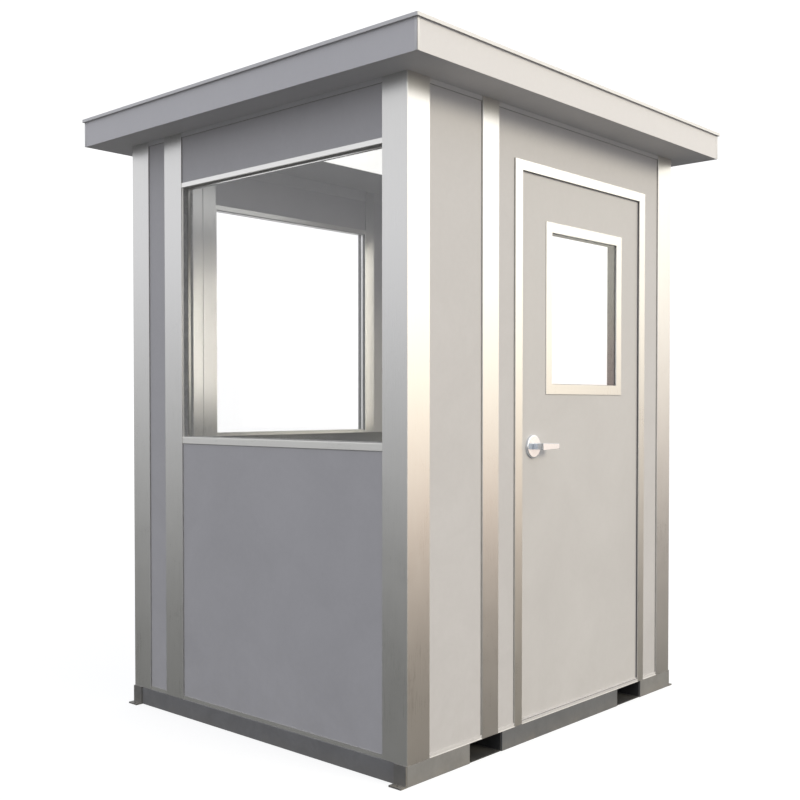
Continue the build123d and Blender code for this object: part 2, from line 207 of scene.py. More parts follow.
clip_steel = painted("clip_steel", chip(120, 118, 114), 0.45, patches=22.0, depth=0.12,
                     skin=0.3, dust_top=0.05, dust_amount=0.4)
dress(clip_steel, "anchor_clips")


# ---- Floor deck -------------------------------------------------------------------------
# Aluminium tread plate laid over the rails, with raised lozenges rolled into its top face.
# Bare metal, dulled by feet.

# Brushed or rolled metal: fine lines along one direction, and faint handling marks.
grained, given, made = effect_group(
    "grained_metal",
    [("Colour", "NodeSocketColor", (0.6, 0.6, 0.6, 1.0)),
     ("Lines per metre", "NodeSocketVector", (900.0, 900.0, 6.0)),
     ("Line depth", "NodeSocketFloat", 0.05),
     ("Roughness", "NodeSocketFloat", 0.3)],
    [("Colour", "NodeSocketColor"), ("Roughness", "NodeSocketFloat"), ("Lines", "NodeSocketFloat")])
place = add_node(grained, "ShaderNodeTexCoord").outputs["Object"]
stretched = add_node(grained, "ShaderNodeVectorMath", {
    0: place, 1: given.outputs["Lines per metre"]}, operation="MULTIPLY").outputs["Vector"]
lines = add_node(grained, "ShaderNodeTexNoise", {
    "Vector": stretched, "Scale": 1.0, "Detail": 3.0, "Roughness": 0.7}).outputs["Fac"]
marks = add_node(grained, "ShaderNodeTexNoise", {
    "Vector": place, "Scale": 4.0, "Detail": 5.0, "Roughness": 0.6,
    "Distortion": 0.8}).outputs["Fac"]
centred_lines = add_node(grained, "ShaderNodeMapRange", {
    "Value": lines, "From Min": 0.3, "From Max": 0.7,
    "To Min": -1.0, "To Max": 1.0}).outputs["Result"]
centred_marks = add_node(grained, "ShaderNodeMapRange", {
    "Value": marks, "From Min": 0.3, "From Max": 0.7,
    "To Min": -0.6, "To Max": 0.6}).outputs["Result"]
summed = add_node(grained, "ShaderNodeMath", {0: centred_lines, 1: centred_marks}, operation="ADD")
lighter = add_node(grained, "ShaderNodeMath", {
    0: summed.outputs[0], 1: given.outputs["Line depth"], 2: 1.0}, operation="MULTIPLY_ADD")
tinted = scaled_colour(grained, given.outputs["Colour"], lighter.outputs[0])
grained.links.new(tinted.outputs["Vector"], made.inputs["Colour"])
line_dulling = 0.03
duller = add_node(grained, "ShaderNodeMath", {
    0: summed.outputs[0], 1: line_dulling, 2: given.outputs["Roughness"]}, operation="MULTIPLY_ADD")
grained.links.new(duller.outputs[0], made.inputs["Roughness"])
grained.links.new(lines, made.inputs["Lines"])

along_x = (6.0, 900.0, 900.0)
along_y = (900.0, 6.0, 900.0)
along_z = (900.0, 900.0, 6.0)
grain_relief = 0.0002


def metal(name, colour, roughness, direction, depth=0.05, bump=0.08, metallic=1.0):
    """Bare metal with a grain along one direction."""
    material, tree, shader = plain_material(name, metallic)
    grain = add_node(tree, "ShaderNodeGroup", {
        "Colour": colour, "Lines per metre": direction, "Line depth": depth,
        "Roughness": roughness}, node_tree=grained)
    tree.links.new(grain.outputs["Colour"], shader.inputs["Base Color"])
    tree.links.new(grain.outputs["Roughness"], shader.inputs["Roughness"])
    bumped(tree, shader, grain.outputs["Lines"], bump, grain_relief)
    return material


def new_piece(shape, name, material, body, sharp=35):
    """A finished piece from a bmesh: riding on its body, with its finish."""
    bmesh.ops.recalc_face_normals(shape, faces=shape.faces)
    mesh = bpy.data.meshes.new(name)
    shape.to_mesh(mesh)
    shape.free()
    mesh.shade_smooth()
    mesh.set_sharp_from_angle(angle=math.radians(sharp))
    mesh.materials.append(material)
    piece = bpy.data.objects.new(name, mesh)
    bpy.context.scene.collection.objects.link(piece)
    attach(piece, body)
    return piece


deck_metal = metal("deck_metal", chip(176, 176, 174), 0.42, along_x, depth=0.06, bump=0.1)
dress(deck_metal, "floor_deck")

deck_low, deck_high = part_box("floor_deck")
lozenge_length = 0.030
lozenge_width = 0.007
lozenge_height = 0.0012
lozenge_pitch = 0.036
lozenge_taper = 0.6
deck_border = 0.03
tread = bmesh.new()
columns = int((deck_high.x - deck_low.x - 2 * deck_border) / lozenge_pitch)
rows = int((deck_high.y - deck_low.y - 2 * deck_border) / lozenge_pitch)
for column in range(columns):
    for row in range(rows):
        middle = Vector((deck_low.x + deck_border + (column + 0.5) * lozenge_pitch,
                         deck_low.y + deck_border + (row + 0.5) * lozenge_pitch, deck_high.z))
        turn = Matrix.Rotation(math.radians(45 if (column + row) % 2 else -45), 4, "Z")
        size = Matrix.Diagonal((lozenge_length / 2, lozenge_width / 2, lozenge_height, 1))
        bmesh.ops.create_cone(tread, cap_ends=True, segments=8, radius1=1.0, radius2=lozenge_taper,
                              depth=1.0, matrix=Matrix.Translation(middle) @ turn @ size)
new_piece(tread, "deck_tread", deck_metal, "booth", sharp=60)


# ---- Corner posts and battens -----------------------------------------------------------
# Folded covers of brushed aluminium over the frame's tubes at the corners and panel joints.
# The brushing runs up each cover, and the surroundings show in it as a soft gradient.

upright_metal = metal("upright_metal", chip(206, 206, 205), 0.3, along_z, depth=0.035, bump=0.06)
for name in nodes:
    if name.startswith("corner_post") or name.endswith(("batten", "battens")):
        dress(upright_metal, name)


# ---- Wall panels ------------------------------------------------------------------------
# Insulated panels between the uprights, skinned with smooth steel sheet on both faces.
# Painted light grey with faint cloudy patches, a little dusty along the foot.

panel_paint = painted("panel_paint", chip(200, 198, 199), 0.45, patches=3.2, depth=0.035,
                      skin=0.05, dust_top=0.5, dust_amount=0.12)
for name in nodes:
    if name.endswith(("_panel", "_panels")):
        dress(panel_paint, name)


# ---- Channels round the walls -----------------------------------------------------------
# Pressed channels that hold the panels at the foot and under the roof.
# The lower one is aluminium, brushed along its length. The upper one is painted light grey.

channel_metal = metal("channel_metal", chip(200, 200, 198), 0.38, along_x, depth=0.03, bump=0.05)
dress(channel_metal, "bottom_channels")
cornice_paint = painted("cornice_paint", chip(212, 211, 211), 0.45, patches=3.0, depth=0.03,
                        skin=0.05)
dress(cornice_paint, "top_channels")


# ---- Joint sealant ----------------------------------------------------------------------
# A thin bead of light grey sealant in each corner between a panel and what frames it.
# Gunned in on site and tooled with a finger, so its outer edge is rounded.

def rubbery(name, colour):
    """A matt, slightly uneven rubber or sealant."""
    material, tree, shader = plain_material(name, metallic=0.0, specular=0.3)
    matt = add_node(tree, "ShaderNodeGroup", {
        "Colour": colour, "Patches per metre": 40.0, "Patch depth": 0.15,
        "Roughness": 0.7}, node_tree=sprayed)
    tree.links.new(matt.outputs["Colour"], shader.inputs["Base Color"])
    tree.links.new(matt.outputs["Roughness"], shader.inputs["Roughness"])
    return material


sealant = rubbery("grey_sealant", chip(168, 166, 163))

body_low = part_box("corner_post_front_left")[0]
body_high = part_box("corner_post_back_right")[1]


def on_wall(wall, along, depth, level):
    """A point in a wall: along it, inwards from the outer face of the posts, and up."""
    if wall == "front":
        return Vector((along, body_low.y + depth, level))
    if wall == "back":
        return Vector((along, body_high.y - depth, level))
    if wall == "left":
        return Vector((body_low.x + depth, along, level))
    return Vector((body_high.x - depth, along, level))


def add_bar(shape, corner_a, corner_b, rounding=0.0, segments=2):
    """A bar between two opposite corners, with its edges rounded."""
    low = Vector(min(pair) for pair in zip(corner_a, corner_b))
    high = Vector(max(pair) for pair in zip(corner_a, corner_b))
    middle = (low + high) / 2
    size = high - low
    place = Matrix.Translation(middle) @ Matrix.Diagonal((*size, 1))
    corners = bmesh.ops.create_cube(shape, size=1, matrix=place)["verts"]
    if rounding:
        edges = list({edge for corner in corners for edge in corner.link_edges})
        bmesh.ops.bevel(shape, geom=edges, offset=rounding, segments=segments, profile=0.5,
                        affect="EDGES", material=-1)


def wall_bar(shape, wall, span, depths, levels, rounding=0.0):
    """A bar in a wall between two places along it, two depths and two levels."""
    add_bar(shape, on_wall(wall, span[0], depths[0], levels[0]),
            on_wall(wall, span[1], depths[1], levels[1]), rounding)


def span_of(node, wall):
    """Where a node starts and ends along a wall."""
    low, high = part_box(node)
    return (low.x, high.x) if wall in ("front", "back") else (low.y, high.y)


def levels_of(node):
    """A node's lowest and highest levels."""
    low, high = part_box(node)
    return low.z, high.z


panel_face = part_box("front_side_panel")[0].y - body_low.y
frame_span = span_of("door_frame", "right")
batten_span = span_of("right_batten", "right")
post_front = span_of("corner_post_front_right", "right")[1]
post_back = span_of("corner_post_back_right", "right")[0]
left_span = span_of("left_battens", "left")
full_height = levels_of("front_side_panel")
fields = [
    ("right", (post_front, batten_span[0]), full_height),
    ("right", (batten_span[1], post_back), full_height),
    ("left", (post_front, left_span[0]), full_height),
    ("left", (left_span[1], post_back), full_height),
]
for wall in ("front", "back"):
    fields.append((wall, span_of(f"{wall}_side_panel", wall), full_height))
for wall in ("front", "back", "left"):
    for part in ("lower_panel", "header_panel"):
        node = f"{wall}_{part}"
        fields.append((wall, span_of(node, wall), levels_of(node)))

bead = 0.002
seated = 0.0005
depths = (panel_face - bead, panel_face + seated)
beads = bmesh.new()
for inner, outer in ((frame_span[0] - bead, frame_span[0]), (frame_span[1] + bead, frame_span[1])):
    wall_bar(beads, "right", (inner, outer), depths, (full_height[0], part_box("door_frame")[1].z), bead / 3)
for wall, span, levels in fields:
    for inner, outer in ((span[0] + bead, span[0]), (span[1] - bead, span[1])):
        wall_bar(beads, wall, (inner, outer), depths, levels, bead / 3)
    wall_bar(beads, wall, span, depths, (levels[1] - bead, levels[1]), bead / 3)
new_piece(beads, "joint_sealant", sealant, "booth")


# ---- Base flashing ----------------------------------------------------------------------
# A strip of pale painted steel along the foot of the door wall, between the metal posts.
# It covers the channel and turns out over the base rail as a narrow lip, which also runs
# across the doorway. The lip is painted lighter than the strip, a painted highlight along its edge.

flashing_paint = painted("flashing_paint", chip(203, 201, 201), 0.42, patches=2.6, depth=0.03, skin=0.05)
# The lip's lighter paint is a painted highlight.
lip_highlight_paint = painted("lip_highlight_paint", chip(226, 224, 222), 0.4, patches=3.0, depth=0.03, skin=0.05)
flashing_depth = 0.002
lip_level = 0.003
lip_proud = 0.001
channel_depth = body_high.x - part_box("bottom_channels")[1].x
rail_top, channel_top = levels_of("bottom_channels")
leaf_span = span_of("door_leaf", "right")
lap = 0.0075
foot_spans = [(post_front, batten_span[0]), (batten_span[1], frame_span[0]), (frame_span[1], post_back)]
flashing = bmesh.new()
for span in foot_spans:
    wall_bar(flashing, "right", span, (flashing_depth, channel_depth + seated),
             (rail_top, channel_top + seated), seated)
flashing_lip = bmesh.new()
for span in (*foot_spans, (leaf_span[0] + lap, leaf_span[1] - lap)):
    wall_bar(flashing_lip, "right", span, (-lip_proud, channel_depth), (rail_top, rail_top + lip_level),
             lip_proud)
new_piece(flashing, "base_flashing", flashing_paint, "booth")
new_piece(flashing_lip, "base_flashing_lip", lip_highlight_paint, "booth")


# ---- Window frames ----------------------------------------------------------------------
# Head, rounded sill, thin jamb liners and an inner glazing bead, pressed from aluminium.
# Brushed along its length. Its metal is a lighter copy of the covers' aluminium, a painted highlight where
# the wide sill and head catch the light.

window_metal_with_highlight = metal("window_metal_with_highlight", chip(222, 222, 220), 0.3, along_x, depth=0.03, bump=0.04)
windows = ("front", "back", "left")
dress(window_metal_with_highlight, *[f"{wall}_window_frame" for wall in windows])


# ---- Lower wall linings -----------------------------------------------------------------
# Thin kick sheets fixed over the inside of the three window walls, from floor to sill.
# Painted a darker grey than the panels, which is painted shade on the lower inside of the walls, and dusty
# at the foot.

lining_paint_and_shade = painted("lining_paint_and_shade", chip(124, 124, 123), 0.6, patches=2.5, depth=0.06, skin=0.05,
                       dust_top=0.35, dust_amount=0.15, specular=0.2)
wall_depth = 0.061
sheet_thickness = 0.001
sheet_rise = 0.015
sheets = bmesh.new()
sheet_levels = (deck_high.z + seated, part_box("front_window_frame")[0].z + sheet_rise)
for wall, low, high in (("front", body_low.x, body_high.x), ("back", body_low.x, body_high.x),
                        ("left", body_low.y, body_high.y)):
    wall_bar(sheets, wall, (low + wall_depth - seated, high - wall_depth + seated),
             (wall_depth - seated, wall_depth + sheet_thickness), sheet_levels, seated / 2)
new_piece(sheets, "lower_linings", lining_paint_and_shade, "booth")


# ---- Window glass -----------------------------------------------------------------------
# One fixed pane of clear toughened glass in each of three walls.
# It sits against the inner bead and is held outside by a pale rubber gasket, and thin
# strips of the same rubber line the opening on both sides of it.

def clear_glass(name, tint):
    """Clear glass that lets the daylight through to what stands behind it."""
    material, tree, shader = plain_material(name, metallic=0.0)
    shader.inputs["Base Color"].default_value = tint
    shader.inputs["Transmission Weight"].default_value = 1.0
    shader.inputs["IOR"].default_value = 1.45
    smears = add_node(tree, "ShaderNodeTexNoise", {
        "Vector": add_node(tree, "ShaderNodeTexCoord").outputs["Object"],
        "Scale": 5.0, "Detail": 6.0, "Roughness": 0.6, "Distortion": 1.2}).outputs["Fac"]
    smeared = add_node(tree, "ShaderNodeMapRange", {
        "Value": smears, "From Min": 0.5, "From Max": 0.8, "To Min": 0.0, "To Max": 0.06})
    tree.links.new(smeared.outputs["Result"], shader.inputs["Roughness"])
    rays = add_node(tree, "ShaderNodeLightPath").outputs
    daylight = add_node(tree, "ShaderNodeMath", {
        0: rays["Is Shadow Ray"], 1: rays["Is Diffuse Ray"]}, operation="MAXIMUM")
    open_air = add_node(tree, "ShaderNodeBsdfTransparent", {"Color": (0.92, 0.93, 0.93, 1.0)})
    either = add_node(tree, "ShaderNodeMixShader", {
        0: daylight.outputs[0], 1: shader.outputs[0], 2: open_air.outputs[0]})
    tree.links.new(either.outputs[0], tree.nodes["Material Output"].inputs["Surface"])
    return material


pane_glass = clear_glass("pane_glass", (0.99, 0.99, 0.992, 1.0))
dress(pane_glass, *[f"{wall}_window_glass" for wall in windows])


def wall_ring(shape, wall, span, levels, depths, width):
    """A mitred ring of flat section in a wall, its outer edge on the given span and levels."""
    corners = [(span[0], levels[0]), (span[1], levels[0]), (span[1], levels[1]), (span[0], levels[1])]
    ring = [shape.verts.new(on_wall(wall, along, depths[0], level)) for along, level in corners]
    face = shape.faces.new(ring)
    face.normal_update()
    members = bmesh.ops.inset_region(shape, faces=[face], thickness=width, use_boundary=True,
                                     use_even_offset=True)["faces"]
    bmesh.ops.delete(shape, geom=[face], context="FACES")
    grown = bmesh.ops.extrude_face_region(shape, geom=members, use_keep_orig=True)["geom"]
    inwards = on_wall(wall, 0, depths[1], 0) - on_wall(wall, 0, depths[0], 0)
    bmesh.ops.translate(shape, vec=inwards,
                        verts=[part for part in grown if isinstance(part, bmesh.types.BMVert)])


gasket_rubber = rubbery("gasket_rubber", chip(190, 188, 184))
gasket_width = 0.004
gasket_depth = 0.003
lining = 0.0012
lining_start = 0.009
bead_back = 0.045
frame_back = 0.0605
glass_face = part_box("front_window_glass")[0].y - body_low.y
gaskets = bmesh.new()
for wall in windows:
    pane = f"{wall}_window_glass"
    opening = (span_of(pane, wall), levels_of(pane))
    wall_ring(gaskets, wall, *opening, (glass_face - gasket_depth, glass_face), gasket_width)
    wall_ring(gaskets, wall, *opening, (lining_start, glass_face - gasket_depth), lining)
    wall_ring(gaskets, wall, *opening, (bead_back, frame_back), lining)
new_piece(gaskets, "window_gaskets", gasket_rubber, "booth")


# ---- Door frame -------------------------------------------------------------------------
# A pressed aluminium frame that laps over the wall outside, with a painted threshold and bare
# metal ribs below. A soft strip behind its lip and the threshold's edge takes the closed leaf,
# and a steel strike plate sits on the jamb at the lever's height.

seal_rubber = rubbery("seal_rubber", chip(120, 118, 122))
door_metal = metal("door_metal", chip(208, 208, 205), 0.3, along_z, depth=0.03, bump=0.05)
threshold_metal = metal("threshold_metal", chip(196, 196, 193), 0.4, along_y, depth=0.06, bump=0.1)
dress(door_metal, "door_frame")
dress(flashing_paint, "door_threshold")

leaf_levels = levels_of("door_leaf")
sill_low, sill_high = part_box("door_threshold")
leaf_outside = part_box("door_leaf")[1].x
leaf_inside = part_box("door_leaf")[0].x
leaf_depth = body_high.x - leaf_outside
strip_width = 0.006
strip_clearance = 0.0005
lip_back = 0.004
strip = bmesh.new()
wall_ring(strip, "right", (leaf_span[0] + lap - strip_width, leaf_span[1] - lap + strip_width),
          (sill_high.z - strip_width, leaf_levels[1] - lap + strip_width),
          (lip_back, leaf_depth - strip_clearance), strip_width)
new_piece(strip, "door_weatherstrip", seal_rubber, "booth")

plate_top = deck_high.z
rib_height = 0.001
rib_width = 0.004
rib_inset = 0.012
rib_count = 4
ribs = bmesh.new()
first_rib = leaf_inside - rib_inset / 2
last_rib = leaf_outside - rib_inset / 2
for index in range(rib_count):
    x = first_rib + (last_rib - first_rib) * index / (rib_count - 1)
    add_bar(ribs, (x, sill_low.y + rib_inset, plate_top - seated),
            (x + rib_width, sill_high.y - rib_inset, plate_top + rib_height), rib_height / 3)
new_piece(ribs, "threshold_ribs", threshold_metal, "booth")

satin_steel = metal("satin_steel", chip(190, 189, 186), 0.3, along_z, depth=0.05, bump=0.05)
joint_places = {joint["name"]: joint["pos_m"] for joint in frame["joints"]}
spindle_level = joint_places["lever_turn"][2]
leaf_middle = (leaf_inside + leaf_outside) / 2
latch_gap = 0.007
jamb_face = leaf_span[0] - latch_gap
strike = bmesh.new()
strike_proud = 0.0006
strike_half = Vector((0.0125, 0, 0.034))
hole_half = Vector((0.007, 0, 0.015))
for x, z in ((-1, 0), (1, 0), (0, -1), (0, 1)):
    near = Vector((x * hole_half.x or -hole_half.x, 0, z * hole_half.z or -strike_half.z))
    far = Vector((x * strike_half.x or hole_half.x, 0, z * strike_half.z or strike_half.z))
    add_bar(strike, (leaf_middle + near.x, jamb_face - seated, spindle_level + near.z),
            (leaf_middle + far.x, jamb_face + strike_proud, spindle_level + far.z))
new_piece(strike, "strike_plate", satin_steel, "booth")
pocket_proud = 0.0001
strike_pocket = bmesh.new()
add_bar(strike_pocket,
        (leaf_middle - hole_half.x, jamb_face - seated, spindle_level - hole_half.z),
        (leaf_middle + hole_half.x, jamb_face + pocket_proud, spindle_level + hole_half.z))
new_piece(strike_pocket, "strike_pocket", seal_rubber, "booth")


# ---- Door leaf --------------------------------------------------------------------------
# A flush steel door over an insulating core, hung to swing into the booth.
# Painted like the wall panels, with a bare latch plate on its closing edge and a drip
# strip along its foot.

leaf_paint = painted("leaf_paint", chip(201, 199, 199), 0.42, patches=2.6, depth=0.03,
                     skin=0.05, dust_top=0.4, dust_amount=0.1)
dress(leaf_paint, "door_leaf")

latch_width = 0.025
latch_height = 0.057
plate_thickness = 0.001
plate_rounding = 0.0004
latch = bmesh.new()
latch_edge = leaf_span[0]
add_bar(latch,
        (leaf_middle - latch_width / 2, latch_edge - plate_thickness, spindle_level - latch_height / 2),
        (leaf_middle + latch_width / 2, latch_edge + seated, spindle_level + latch_height / 2),
        plate_rounding)
new_piece(latch, "latch_plate", satin_steel, "door")

drip_depth = 0.0045
drip_height = 0.005
drip_clearance = 0.001
drip = bmesh.new()
wall_bar(drip, "right", (leaf_span[0] + lap + drip_clearance, leaf_span[1] - lap - drip_clearance),
         (drip_depth, leaf_depth + seated),
         (sill_high.z + drip_clearance, sill_high.z + drip_clearance + drip_height), seated)
new_piece(drip, "door_drip_strip", leaf_paint, "door")


# ---- Door window ------------------------------------------------------------------------
# Two flat aluminium frames fixed through the leaf, with one pane between them. They are
# brushed like the door frame, and a grey rubber strip lines the opening behind the pane.

dress(door_metal, "door_lite_frame")
dress(pane_glass, "door_lite_glass")
lite_pane_back = body_high.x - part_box("door_lite_glass")[0].x
lite_lining = bmesh.new()
wall_ring(lite_lining, "right", span_of("door_lite_glass", "right"), levels_of("door_lite_glass"),
          (lite_pane_back, body_high.x - leaf_inside), lining)
new_piece(lite_lining, "lite_lining", seal_rubber, "door")


# ---- Hinges -----------------------------------------------------------------------------
# Three butt hinges of satin steel on the inner faces of the leaf and the frame.
# Each plate is fixed with countersunk screws.

dress(satin_steel, "hinge_frame_halves", "hinge_leaf_halves")

hinge_low, hinge_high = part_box("hinge_frame_halves")
hinge_line = joint_places["door_swing"][1]
hinge_half_height = 0.05
hinge_plate = 0.003
screw_reach = 0.0205
screw_pitch = 0.032
screw_radius = 0.0036
screw_proud = 0.0004
screw_socket = 0.0016
screw_taper = 0.9
for body, side in (("door", -1), ("booth", 1)):
    screws = bmesh.new()
    for level in (hinge_low.z + hinge_half_height, (hinge_low.z + hinge_high.z) / 2,
                  hinge_high.z - hinge_half_height):
        for step in (-1, 0, 1):
            middle = Vector((hinge_high.x - hinge_plate, hinge_line + side * screw_reach,
                             level + step * screw_pitch))
            place = Matrix.Translation(middle) @ Matrix.Rotation(math.radians(-90), 4, "Y")
            head = bmesh.ops.create_cone(screws, cap_ends=True, segments=24, radius1=screw_radius,
                                         radius2=screw_radius * screw_taper, depth=2 * screw_proud,
                                         matrix=place)
            top = min({face for corner in head["verts"] for face in corner.link_faces},
                      key=lambda face: face.calc_center_median().x)
            bmesh.ops.inset_region(screws, faces=[top], thickness=screw_radius - screw_socket)
            bmesh.ops.translate(screws, vec=(screw_proud, 0, 0), verts=list(top.verts))
    new_piece(screws, f"hinge_screws_{body}", satin_steel, body)


# ---- Lever set --------------------------------------------------------------------------
# A square lever on a round rose, outside and inside, turning on one spindle.
# Die-cast and chromed, then lightly brushed.

chrome = metal("lever_chrome", chip(227, 232, 239), 0.2, along_y, depth=0.02, bump=0.02, metallic=0.78)
dress(chrome, "lever_handle", "lever_rosettes")


# ---- Roof -------------------------------------------------------------------------------
# A flat insulated deck with a folded steel fascia, a drip-edged cap and a flat soffit.
# The steel is painted a lighter grey than the walls, with cover strips at the four corners.

fascia_paint = painted("fascia_paint", chip(223, 221, 222), 0.45, patches=3.0, depth=0.025, skin=0.05)
cap_paint = painted("cap_paint", chip(236, 235, 234), 0.4, patches=2.0, depth=0.03, skin=0.08)
soffit_paint = painted("soffit_paint", chip(214, 213, 213), 0.55, patches=3.0, depth=0.03, skin=0.05,
                       specular=0.1)
foam = painted("roof_foam", chip(232, 226, 204), 0.9, patches=30.0, depth=0.08, skin=0.8)
dress(fascia_paint, "roof_fascia")
dress(cap_paint, "roof_cap")
dress(soffit_paint, "roof_soffit")
dress(foam, "roof_core")

fascia_low, fascia_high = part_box("roof_fascia")
cap_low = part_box("roof_cap")[0]
trim_width = 0.011
trim_proud = 0.001
trims = bmesh.new()
for x, outwards_x in ((fascia_low.x, -1), (fascia_high.x, 1)):
    for y, outwards_y in ((fascia_low.y, -1), (fascia_high.y, 1)):
        corner = (x + outwards_x * trim_proud, y + outwards_y * trim_proud, fascia_low.z)
        add_bar(trims, corner,
                (x - outwards_x * trim_width, y - outwards_y * seated, cap_low.z), trim_proud / 3)
        add_bar(trims, corner,
                (x - outwards_x * seated, y - outwards_y * trim_width, cap_low.z), trim_proud / 3)
new_piece(trims, "fascia_corner_trims", cap_paint, "booth")


# ---- Ceiling light ----------------------------------------------------------------------
# A flat surface-mounted fitting: a white painted tray with an opal lens below, and a
# moulded cap pushed on each end.

tray_paint = painted("tray_paint", chip(232, 232, 230), 0.5, patches=4.0, depth=0.02, skin=0.05)
dress(tray_paint, "ceiling_light")
light_low, light_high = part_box("ceiling_light")
lens_border = 0.02
lens_proud = 0.002
lens_material, tree, shader = plain_material("opal_lens", metallic=0.0)
opal = add_node(tree, "ShaderNodeGroup", {
    "Colour": chip(242, 242, 238), "Patches per metre": 6.0, "Patch depth": 0.03,
    "Roughness": 0.4}, node_tree=sprayed)
tree.links.new(opal.outputs["Colour"], shader.inputs["Base Color"])
tree.links.new(opal.outputs["Colour"], shader.inputs["Emission Color"])
tree.links.new(opal.outputs["Roughness"], shader.inputs["Roughness"])
rays = add_node(tree, "ShaderNodeLightPath").outputs
shining = add_node(tree, "ShaderNodeMapRange", {
    "Value": rays["Is Diffuse Ray"], "To Min": 1.0, "To Max": 0.35})
tree.links.new(shining.outputs[0], shader.inputs["Emission Strength"])
lens_material.cycles.emission_sampling = "NONE"
lens = bmesh.new()
add_bar(lens, (light_low.x + lens_border, light_low.y + lens_border, light_low.z - lens_proud),
        (light_high.x - lens_border, light_high.y - lens_border, light_low.z + seated), lens_proud / 2)
new_piece(lens, "ceiling_light_lens", lens_material, "booth")

cap_length = 0.015
end_caps = bmesh.new()
for end, inwards in ((light_low.y, 1), (light_high.y, -1)):
    add_bar(end_caps, (light_low.x - lens_proud, end - inwards * lens_proud, light_low.z - lens_proud),
            (light_high.x + lens_proud, end + inwards * cap_length, light_high.z), lens_proud / 2)
new_piece(end_caps, "light_end_caps", tray_paint, "booth")


# ---- Studio -----------------------------------------------------------------------------
# A pale floor, open white surroundings, and two soft lamps that the metal does not mirror.
# The metal mirrors a graded sky of its own. None of it is part of the booth.

floor_size = 60.0
floor_shape = bmesh.new()
bmesh.ops.create_grid(floor_shape, x_segments=1, y_segments=1, size=floor_size / 2)
floor_mesh = bpy.data.meshes.new("studio_floor")
floor_shape.to_mesh(floor_mesh)
floor_shape.free()
studio_floor = bpy.data.objects.new("studio_floor", floor_mesh)
bpy.context.scene.collection.objects.link(studio_floor)
studio_floor.visible_glossy = False

floor_material = bpy.data.materials.new("studio_floor")
floor_material.use_nodes = True
tree = floor_material.node_tree
tree.nodes.remove(tree.nodes["Principled BSDF"])
rays = add_node(tree, "ShaderNodeLightPath").outputs
seen = add_node(tree, "ShaderNodeMath", {
    0: rays["Is Camera Ray"], 1: rays["Is Transmission Ray"]}, operation="MAXIMUM")
bounce = add_node(tree, "ShaderNodeEmission", {"Color": (0.16, 0.16, 0.165, 1.0)})
shadowed = add_node(tree, "ShaderNodeBsdfDiffuse", {"Color": (0.25, 0.25, 0.25, 1.0)})
glow = add_node(tree, "ShaderNodeEmission", {"Color": (1.0, 1.0, 1.0, 1.0), "Strength": 0.82})
pale = add_node(tree, "ShaderNodeAddShader", {0: shadowed.outputs[0], 1: glow.outputs[0]})
either = add_node(tree, "ShaderNodeMixShader", {
    0: seen.outputs[0], 1: bounce.outputs[0], 2: pale.outputs[0]})
tree.links.new(either.outputs[0], tree.nodes["Material Output"].inputs["Surface"])
floor_material.cycles.emission_sampling = "NONE"
floor_mesh.materials.append(floor_material)

world = bpy.data.worlds.new("studio")
bpy.context.scene.world = world
world.use_nodes = True
world.cycles.sampling_method = "NONE"
tree = world.node_tree
tree.nodes.remove(tree.nodes["Background"])
direction = add_node(tree, "ShaderNodeTexCoord").outputs["Generated"]
parts = add_node(tree, "ShaderNodeSeparateXYZ", {0: direction}).outputs


ramp_reach = 0.32


def mirrored_sky(height, steps):
    """What the metal mirrors: a colour for each angle above or below the horizon."""
    rise = add_node(tree, "ShaderNodeMapRange", {
        "Value": height, "From Min": -ramp_reach, "From Max": ramp_reach})
    ramp = add_node(tree, "ShaderNodeValToRGB", {0: rise.outputs["Result"]})
    while len(ramp.color_ramp.elements) < len(steps):
        ramp.color_ramp.elements.new(1.0)
    for element, (angle, colour) in zip(ramp.color_ramp.elements, steps):
        element.position = (math.sin(math.radians(angle)) + ramp_reach) / (2 * ramp_reach)
        element.color = (*colour, 1.0)
    return ramp.outputs["Color"]


# The warm sky lies on the door side. Away from there its horizon climbs.
warm_heading = math.radians(20)
lean_rate = 1.3
lean_start = -1.085
flat = add_node(tree, "ShaderNodeVectorMath", {0: direction, 1: (1.0, 1.0, 0.0)}, operation="MULTIPLY")
heading = add_node(tree, "ShaderNodeVectorMath", {0: flat.outputs["Vector"]}, operation="NORMALIZE")
towards = add_node(tree, "ShaderNodeVectorMath", {
    0: heading.outputs["Vector"],
    1: (math.cos(warm_heading), math.sin(warm_heading), 0.0)}, operation="DOT_PRODUCT")
leaning = add_node(tree, "ShaderNodeMath", {
    0: towards.outputs["Value"], 1: lean_rate, 2: lean_start}, operation="MULTIPLY_ADD")
kept = add_node(tree, "ShaderNodeMath", {0: leaning.outputs[0], 1: 0.0}, operation="MINIMUM")
warm_rise = add_node(tree, "ShaderNodeMath", {0: parts["Z"], 1: kept.outputs[0]}, operation="ADD")
# From low to high: dark ground, horizon and sky. The cool sky has a bright band 10 degrees up.
cool_sky = mirrored_sky(parts["Z"], [
    (-10, (0.22, 0.22, 0.21)), (0, (0.7, 0.7, 0.7)), (10, (1.3, 1.3, 1.35)), (15, (1.0, 1.0, 1.0))])
warm_sky = mirrored_sky(warm_rise.outputs[0], [
    (-10, (0.25, 0.22, 0.18)), (-3, (1.8, 1.35, 1.1)), (2, (2.3, 2.2, 1.8)), (15, (2.5, 2.4, 2.3))])
warm_rising = 0.25
cool_edge = 0.66
warm_edge = 0.86
raised = add_node(tree, "ShaderNodeMath", {
    0: parts["Z"], 1: warm_rising, 2: towards.outputs["Value"]}, operation="MULTIPLY_ADD")
warm_side = add_node(tree, "ShaderNodeMapRange", {
    "Value": raised.outputs[0], "From Min": cool_edge, "From Max": warm_edge},
    interpolation_type="SMOOTHSTEP").outputs["Result"]
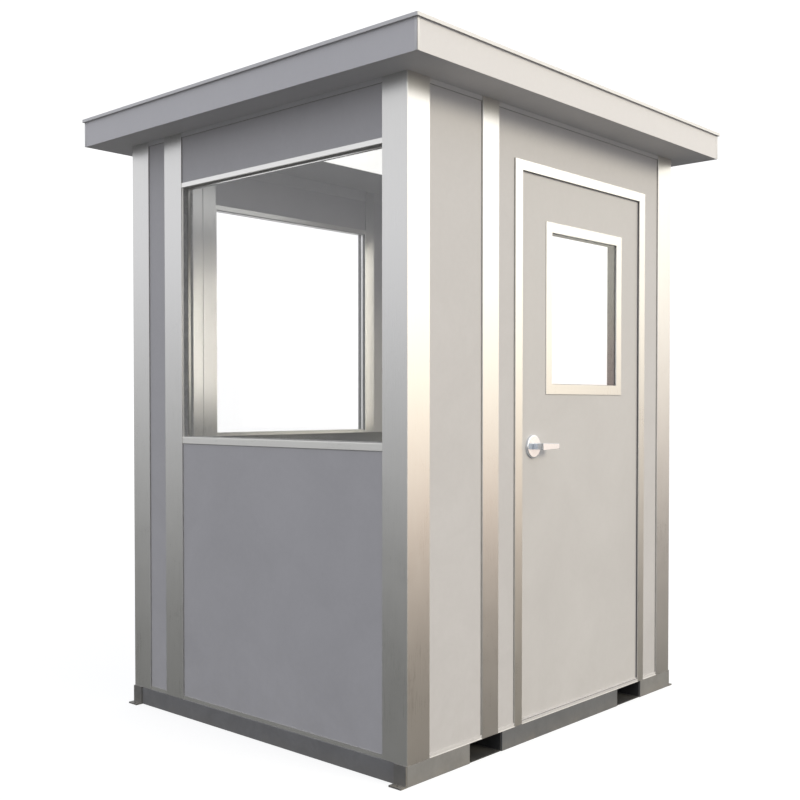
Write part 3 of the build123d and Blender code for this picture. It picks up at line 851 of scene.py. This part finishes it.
mirrored = add_node(tree, "ShaderNodeMix", {0: warm_side, 6: cool_sky, 7: warm_sky}, data_type="RGBA")

rays = add_node(tree, "ShaderNodeLightPath").outputs
seen = add_node(tree, "ShaderNodeMath", {
    0: rays["Is Camera Ray"], 1: rays["Is Transmission Ray"]}, operation="MAXIMUM")
bounced = add_node(tree, "ShaderNodeMath", {0: rays["Glossy Depth"], 1: 0.5}, operation="GREATER_THAN")
straight = add_node(tree, "ShaderNodeMath", {
    0: seen.outputs[0], 1: bounced.outputs[0]}, operation="SUBTRACT", use_clamp=True)
reflected = add_node(tree, "ShaderNodeMath", {
    0: bounced.outputs[0], 1: rays["Is Diffuse Ray"]}, operation="SUBTRACT", use_clamp=True)
light_at_horizon = 0.40
light_overhead = 1.02
skylight = (1.0, 1.03, 1.12)
open_white = (1.12, 1.12, 1.12, 1.0)
overhead = add_node(tree, "ShaderNodeMapRange", {
    "Value": parts["Z"], "To Min": light_at_horizon, "To Max": light_overhead}).outputs["Result"]
cool_light = add_node(tree, "ShaderNodeVectorMath", {
    0: skylight, "Scale": overhead}, operation="SCALE")
fill = add_node(tree, "ShaderNodeMix", {
    0: reflected.outputs[0], 6: cool_light.outputs["Vector"], 7: mirrored.outputs[2]}, data_type="RGBA")
white = add_node(tree, "ShaderNodeMix", {
    0: straight.outputs[0], 6: fill.outputs[2], 7: open_white}, data_type="RGBA")
background = add_node(tree, "ShaderNodeBackground", {"Color": white.outputs[2], "Strength": 1.0})
tree.links.new(background.outputs[0], tree.nodes["World Output"].inputs["Surface"])

key_data = bpy.data.lights.new("door_side_key", "SUN")
key_data.energy = 1.76
key_data.angle = math.radians(24)
key_data.color = (1.0, 0.915, 0.71)
key = bpy.data.objects.new("door_side_key", key_data)
key.rotation_euler = (math.radians(65), 0, math.radians(102))
key.visible_glossy = False
bpy.context.scene.collection.objects.link(key)

low_data = bpy.data.lights.new("low_side_light", "AREA")
low_data.shape = "RECTANGLE"
low_data.size = 2.0
low_data.size_y = 1.2
low_data.energy = 90.0
low_data.color = (1.0, 0.95, 0.86)
low_light = bpy.data.objects.new("low_side_light", low_data)
low_light.location = (10.56, 5.2, 1.97)
low_light.rotation_euler = (math.radians(88.5), 0, math.radians(117))
low_light.visible_glossy = False
bpy.context.scene.collection.objects.link(low_light)

camera_data = bpy.data.cameras.new("camera")
camera_data.lens = 48.79
camera_data.sensor_width = 36.0
camera_data.shift_y = 0.0353
camera = bpy.data.objects.new("camera", camera_data)
camera.location = (3.2313, -3.6084, 1.2965)
camera_dip = 1.232
camera_turn = 42.308
camera.rotation_euler = (math.radians(90 - camera_dip), 0, math.radians(camera_turn))
bpy.context.scene.collection.objects.link(camera)
bpy.context.scene.camera = camera

bpy.context.scene.view_settings.view_transform = "Standard"
